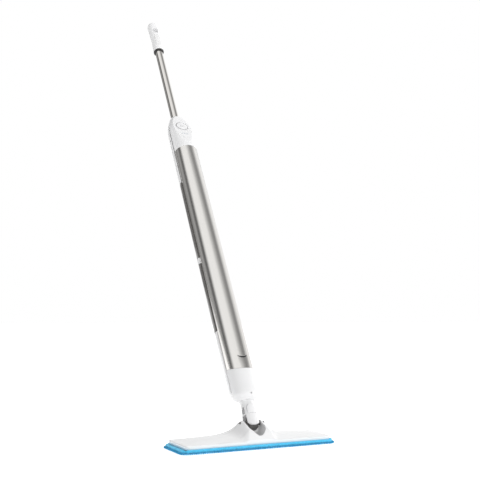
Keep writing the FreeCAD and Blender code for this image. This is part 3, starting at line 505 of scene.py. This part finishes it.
def pile(name, colour, loop_scale, depth, gap_shade=0.45):
    finish, tree, shader = new_finish(name, colour, 0.92, Sheen_Weight=0.35, Sheen_Roughness=0.5)
    shader.inputs["Specular IOR Level"].default_value = 0.2
    loops = tree.nodes.new("ShaderNodeGroup")
    loops.node_tree = TERRY
    loops.inputs["Colour"].default_value = (*colour, 1)
    loops.inputs["Loop Scale"].default_value = loop_scale
    loops.inputs["Gap Shade"].default_value = gap_shade
    bump = tree.nodes.new("ShaderNodeBump")
    bump.inputs["Strength"].default_value = depth
    bump.inputs["Distance"].default_value = 0.001
    tree.links.new(loops.outputs["Height"], bump.inputs["Height"])
    tree.links.new(loops.outputs["Colour"], shader.inputs["Base Color"])
    tree.links.new(bump.outputs["Normal"], shader.inputs["Normal"])
    return finish


# Both piles get painted shade in the gaps between their loops and painted light on the loop tops, through
# the terry group.
microfibre = pile("microfibre", (0.10, 0.62, 0.95), 620.0, 0.5)
chenille = pile("chenille", (0.03, 0.36, 0.64), 900.0, 0.6)


def pad_edge(share, inset):
    """A point on the pad's outline and its way out, for a share of the way round."""
    length, width = PAD_HALF_LENGTH - PAD_CORNER, PAD_HALF_WIDTH - PAD_CORNER
    corner = PAD_CORNER - inset
    arc = corner * math.pi / 2
    runs = [2 * length, arc, 2 * width, arc, 2 * length, arc, 2 * width, arc]
    left = share % 1.0 * sum(runs)
    for index, run in enumerate(runs):
        if left <= run:
            break
        left -= run
    side = index // 2
    heading = side * math.pi / 2
    corners = [(length, -width), (length, width), (-length, width), (-length, -width)]
    if index % 2 == 0:
        begin = [(-length, -width), (length, -width), (length, width), (-length, width)][side]
        x = begin[0] + math.cos(heading) * left
        y = begin[1] + math.sin(heading) * left
        turn = heading - math.pi / 2
    else:
        x, y = corners[side]
        turn = heading - math.pi / 2 + left / corner
    return x + math.cos(turn) * corner, y + math.sin(turn) * corner, turn


def make_pad():
    """The microfibre pad: swollen a little by cloth pressure, with its rim rolled up past the plate."""
    bm = bmesh.new()
    # It starts a little small, because it swells.
    bmesh.ops.create_grid(bm, x_segments=108, y_segments=36, size=1.0)
    for vert in bm.verts:
        x, y = vert.co.x * (PAD_HALF_LENGTH - PAD_INSET), vert.co.y * (PAD_HALF_WIDTH - PAD_INSET)
        over_x, over_y = abs(x) - (PAD_HALF_LENGTH - PAD_CORNER), abs(y) - (PAD_HALF_WIDTH - PAD_CORNER)
        if over_x > 0 and over_y > 0:
            share = max(over_x, over_y) / math.hypot(over_x, over_y)
            x = math.copysign(PAD_HALF_LENGTH - PAD_CORNER + over_x * share, x)
            y = math.copysign(PAD_HALF_WIDTH - PAD_CORNER + over_y * share, y)
        vert.co = (x, y, 1.2)
    top = bmesh.ops.extrude_face_region(bm, geom=list(bm.faces))["geom"]
    bmesh.ops.translate(bm, vec=(0, 0, PAD_HIGH - 2.2), verts=[g for g in top if isinstance(g,
        bmesh.types.BMVert)])
    bmesh.ops.scale(bm, vec=(MM, MM, MM), verts=bm.verts)
    pad = keep_mesh("microfibre_pad", bm, microfibre, "head", 180)
    add_modifier(pad, "REMESH", mode="VOXEL", voxel_size=PAD_VOXEL * MM)
    apply_modifiers(pad)
    rest = [v.co.copy() for v in pad.data.vertices]
    cloth = add_modifier(pad, "CLOTH")
    cloth.settings.use_pressure = True
    cloth.settings.uniform_pressure_force = SWELL_PRESSURE
    cloth.settings.effector_weights.gravity = 0.0
    cloth.settings.quality = 4
    cloth.collision_settings.use_collision = False
    cloth.point_cache.frame_start = 1
    cloth.point_cache.frame_end = SWELL_STEPS
    for step in range(1, SWELL_STEPS + 1):
        bpy.context.scene.frame_set(step)
    apply_modifiers(pad)
    bpy.context.scene.frame_set(1)
    for vert, before in zip(pad.data.vertices, rest):
        move = vert.co - before
        if move.length > SWELL_CAP * MM:
            move *= SWELL_CAP * MM / move.length
        vert.co = before + move
        ripple = noise.noise(before * 95) * 0.0006
        out = Vector((before.x / PAD_HALF_LENGTH, before.y / PAD_HALF_WIDTH, 0)) * 1000
        if max(abs(out.x), abs(out.y)) > 0.93:
            vert.co += out.normalized() * ripple
        outside = max(abs(before.x) / MM - HEAD_HALF_LENGTH, abs(before.y) / MM - HEAD_HALF_WIDTH, 0.0)
        if before.z > 0.5 * PAD_HIGH * MM:
            vert.co.z = min(vert.co.z, (PAD_HIGH - 0.15) * MM) + PAD_ROLL * MM * min(1.0, outside / 1.6)
        vert.co.z = max(vert.co.z, 0.0008)
    add_modifier(pad, "SUBSURF", levels=1, render_levels=1)
    apply_modifiers(pad)
    pad.data.shade_smooth()
    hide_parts("mop_pad")


def make_fringe():
    """Fat chenille tufts all round the foot of the pad."""
    bm = bmesh.new()
    for row, (inset, height, size) in enumerate(((-0.6, 2.2, 2.6), (2.6, 1.6, 1.6))):
        for index in range(TUFTS_ROUND):
            share = (index + 0.5 * row) / TUFTS_ROUND
            x, y, turn = pad_edge(share, inset)
            wobble = noise.noise(Vector((index * 0.77, row * 9.1, 0.3)))
            made = bmesh.ops.create_icosphere(bm, subdivisions=1, radius=1.0)["verts"]
            bmesh.ops.scale(bm, vec=(size * (1.15 + 0.3 * wobble), 1.35,
                                     size * (0.95 + 0.1 * wobble)), verts=made)
            bmesh.ops.rotate(bm, cent=(0, 0, 0), matrix=Matrix.Rotation(turn + wobble * 0.5, 3,
                "Z"), verts=made)
            bmesh.ops.translate(bm, vec=(x - math.cos(turn) * 0.9, y - math.sin(turn) * 0.9, height + 0.25),
                                verts=made)
    bmesh.ops.scale(bm, vec=(MM, MM, MM), verts=bm.verts)
    for vert in bm.verts:
        vert.co.z = max(vert.co.z, 0.0001)
    fringe = keep_mesh("pad_tufts", bm, chenille, "head", 180)


make_pad()
make_fringe()

# ---------------------------------------------------------------- marks on the button and collar
BUTTON = POLE @ Matrix.Translation(Vector((0, -18.06, 791)) * MM) @ Matrix.Rotation(math.radians(77), 4, "X")
BUTTON_RIM = 15.1
# Thickness and height of the painted shade ring in the gap round the button.
SEAM_SHADE_THICK = 0.42
SEAM_SHADE_HIGH = 0.65
BUTTON_TOP = 1.24
COLLAR_FLAT = 0.02
print_grey = moulded("print_grey", (0.42, 0.42, 0.43), 0.5)
# Near-black finish for the painted shade in the gap round the button.
painted_seam_shade = moulded("painted_seam_shade", (0.05, 0.05, 0.055), 0.4)


def printed_line(name, points, height, width, body):
    """A fine printed stroke through points on the button's flat."""
    curve = bpy.data.curves.new(name, "CURVE")
    curve.dimensions = "3D"
    curve.bevel_depth = width / 2 * MM
    curve.bevel_resolution = 2
    curve.resolution_u = 6
    curve.use_fill_caps = True
    line = curve.splines.new("NURBS")
    line.points.add(len(points) - 1)
    for point, (x, y) in zip(line.points, points):
        point.co = (x * MM, y * MM, 0, 1)
    line.order_u = 3
    line.use_endpoint_u = True
    drawn = bpy.data.objects.new(name + "_line", curve)
    bpy.context.scene.collection.objects.link(drawn)
    graph = bpy.context.evaluated_depsgraph_get()
    bm = bmesh.new()
    bm.from_mesh(bpy.data.meshes.new_from_object(drawn.evaluated_get(graph)))
    bpy.data.objects.remove(drawn)
    bmesh.ops.scale(bm, vec=(1, 1, 0.16), verts=bm.verts)
    bmesh.ops.translate(bm, vec=(0, 0, height * MM), verts=bm.verts)
    bmesh.ops.transform(bm, matrix=BUTTON, verts=bm.verts)
    return keep_mesh(name, bm, print_grey, body, 40)


# A near-black ring laid in the gap between the button and its bezel: painted shade for the shadow in that
# gap.
bm = bmesh.new()
ring = bmesh.ops.create_circle(bm, segments=12, radius=SEAM_SHADE_THICK)["verts"]
bmesh.ops.rotate(bm, cent=(0, 0, 0), matrix=Matrix.Rotation(math.radians(90), 3, "X"), verts=ring)
bmesh.ops.translate(bm, vec=(BUTTON_RIM, 0, 0), verts=ring)
bmesh.ops.spin(bm, geom=bm.edges[:] + bm.verts[:], cent=(0, 0, 0), axis=(0, 0, 1),
               angle=2 * math.pi, steps=96,
               use_merge=True)
bmesh.ops.scale(bm, vec=(MM, MM, MM * 0.5), verts=bm.verts)
bmesh.ops.transform(bm, matrix=BUTTON @ Matrix.Translation((0, 0, SEAM_SHADE_HIGH * MM)), verts=bm.verts)
keep_mesh("button_seam_shade", bm, painted_seam_shade, "wand")

for index, shift in enumerate((-4.2, 0.0, 4.2)):
    wave = [(shift + math.sin(step * 1.05) * 1.3, -4.6 + step * 1.15) for step in range(9)]
    printed_line("steam_wave_%d" % (index + 1), wave, BUTTON_TOP, 0.75, "power_button")
printed_line("drop_mark", [(-7.6, -44), (-7.6, -46), (-7.6, -49.5), (-7.6, -50.5)], COLLAR_FLAT, 0.9, "wand")
printed_line("level_mark", [(-3.6, -50), (-2.0, -50), (-0.6, -50)], COLLAR_FLAT, 0.9, "wand")

# ---------------------------------------------------------------- studio
FLOOR_REACH = 30.0
bm = bmesh.new()
bmesh.ops.create_grid(bm, x_segments=1, y_segments=1, size=FLOOR_REACH)
floor_finish, _, floor_shader = new_finish("studio_floor", (0.96, 0.96, 0.96), 0.7)
floor_shader.inputs["Specular IOR Level"].default_value = 0.1
floor_shader.inputs["Emission Color"].default_value = (1, 1, 1, 1)
floor_shader.inputs["Emission Strength"].default_value = 0.55
floor = keep_mesh("studio_floor", bm, floor_finish)
floor.location.z = -0.0002


def area_light(name, place, target, size, power, tint=(1, 1, 1)):
    data = bpy.data.lights.new(name, "AREA")
    data.shape = "RECTANGLE"
    data.size, data.size_y = size
    data.energy = power
    data.color = tint
    lamp = bpy.data.objects.new(name, data)
    bpy.context.scene.collection.objects.link(lamp)
    lamp.location = place
    lamp.rotation_euler = (Vector(target) - Vector(place)).to_track_quat("-Z", "Y").to_euler()
    lamp.visible_glossy = False
    return lamp


area_light("key_light", (2.6, -2.0, 2.4), (0, 0.1, 0.5), (1.6, 1.6), 38)
area_light("top_light", (0.2, 0.2, 3.4), (0, 0.2, 0.0), (3.0, 3.0), 26)

# The room round the mop: a white cove with dark screens, arranged round the pole's own axis.
# Each entry is an angle round the pole from its front, towards the right, and how bright the room is there.
SCREENS = [(-180, 0.20), (-150, 0.24), (-134, 0.30), (-118, 0.46), (-106, 0.24), (-94, 0.06), (-82, 0.16),
           (-70, 0.78), (-58, 1.34), (-46, 1.42), (-34, 1.34), (-22, 1.18), (-10, 0.94), (2,
               0.72), (14, 0.54),
           (26, 0.38), (38, 0.28), (50, 0.26), (62, 0.42), (74, 0.74), (86, 1.02), (98, 1.20), (120, 1.20),
           (180, 0.60)]
world = bpy.data.worlds.new("studio")
bpy.context.scene.world = world
world.use_nodes = True
room = world.node_tree
background = room.nodes["Background"]
place = room.nodes.new("ShaderNodeTexCoord")
stand_up = room.nodes.new("ShaderNodeMapping")
stand_up.inputs["Rotation"].default_value = (LEAN, 0, 0)
room.links.new(place.outputs["Generated"], stand_up.inputs["Vector"])
parts = room.nodes.new("ShaderNodeSeparateXYZ")
room.links.new(stand_up.outputs["Vector"], parts.inputs["Vector"])
backwards = math_node(room, "MULTIPLY", parts.outputs["Y"], -1.0)
angle = math_node(room, "ARCTAN2", parts.outputs["X"], backwards)
angle = math_node(room, "DIVIDE", angle, 2 * math.pi)
angle = math_node(room, "ADD", angle, 0.5)
ramp = room.nodes.new("ShaderNodeValToRGB")
room.links.new(angle, ramp.inputs["Fac"])
ramp.color_ramp.interpolation = "B_SPLINE"
stops = ramp.color_ramp.elements
while len(stops) < len(SCREENS):
    stops.new(0.5)
for stop, (turn, bright) in zip(stops, SCREENS):
    stop.position = turn / 360 + 0.5
    stop.color = (bright, bright, bright, 1)
# Matt surfaces see a plain soft room, a little brighter on the right, instead of the screens.
SOFT_LEFT, SOFT_RIGHT = 0.42, 0.86
heading = room.nodes.new("ShaderNodeSeparateXYZ")
room.links.new(place.outputs["Generated"], heading.inputs["Vector"])
soft = math_node(room, "MULTIPLY", heading.outputs["X"], (SOFT_RIGHT - SOFT_LEFT) / 2)
soft = math_node(room, "ADD", soft, (SOFT_RIGHT + SOFT_LEFT) / 2)
rays = room.nodes.new("ShaderNodeLightPath")


def chosen(ray_kind, other, own):
    """One look for a kind of ray and another for the rest."""
    choice = room.nodes.new("ShaderNodeMix")
    choice.data_type = "RGBA"
    room.links.new(rays.outputs[ray_kind], choice.inputs["Factor"])
    for socket, value in (("A", other), ("B", own)):
        if isinstance(value, tuple):
            choice.inputs[socket].default_value = value
        else:
            room.links.new(value, choice.inputs[socket])
    return choice.outputs["Result"]


seen = chosen("Is Diffuse Ray", ramp.outputs["Color"], soft)
seen = chosen("Is Camera Ray", seen, (1, 1, 1, 1))
room.links.new(seen, background.inputs["Color"])
background.inputs["Strength"].default_value = 1.0
bpy.context.scene.view_settings.view_transform = "Standard"

camera_data = bpy.data.cameras.new("camera")
camera_data.lens = 59.1
camera_data.sensor_width = 36
camera = bpy.data.objects.new("camera", camera_data)
bpy.context.scene.collection.objects.link(camera)
camera.location = Vector((-729.1, -1434.8, 254.3)) * MM
YAW, PITCH = math.radians(26.175), math.radians(5.636)
look = Vector((math.sin(YAW) * math.cos(PITCH), math.cos(YAW) * math.cos(PITCH), math.sin(PITCH)))
camera.rotation_euler = look.to_track_quat("-Z", "Y").to_euler()
bpy.context.scene.camera = camera
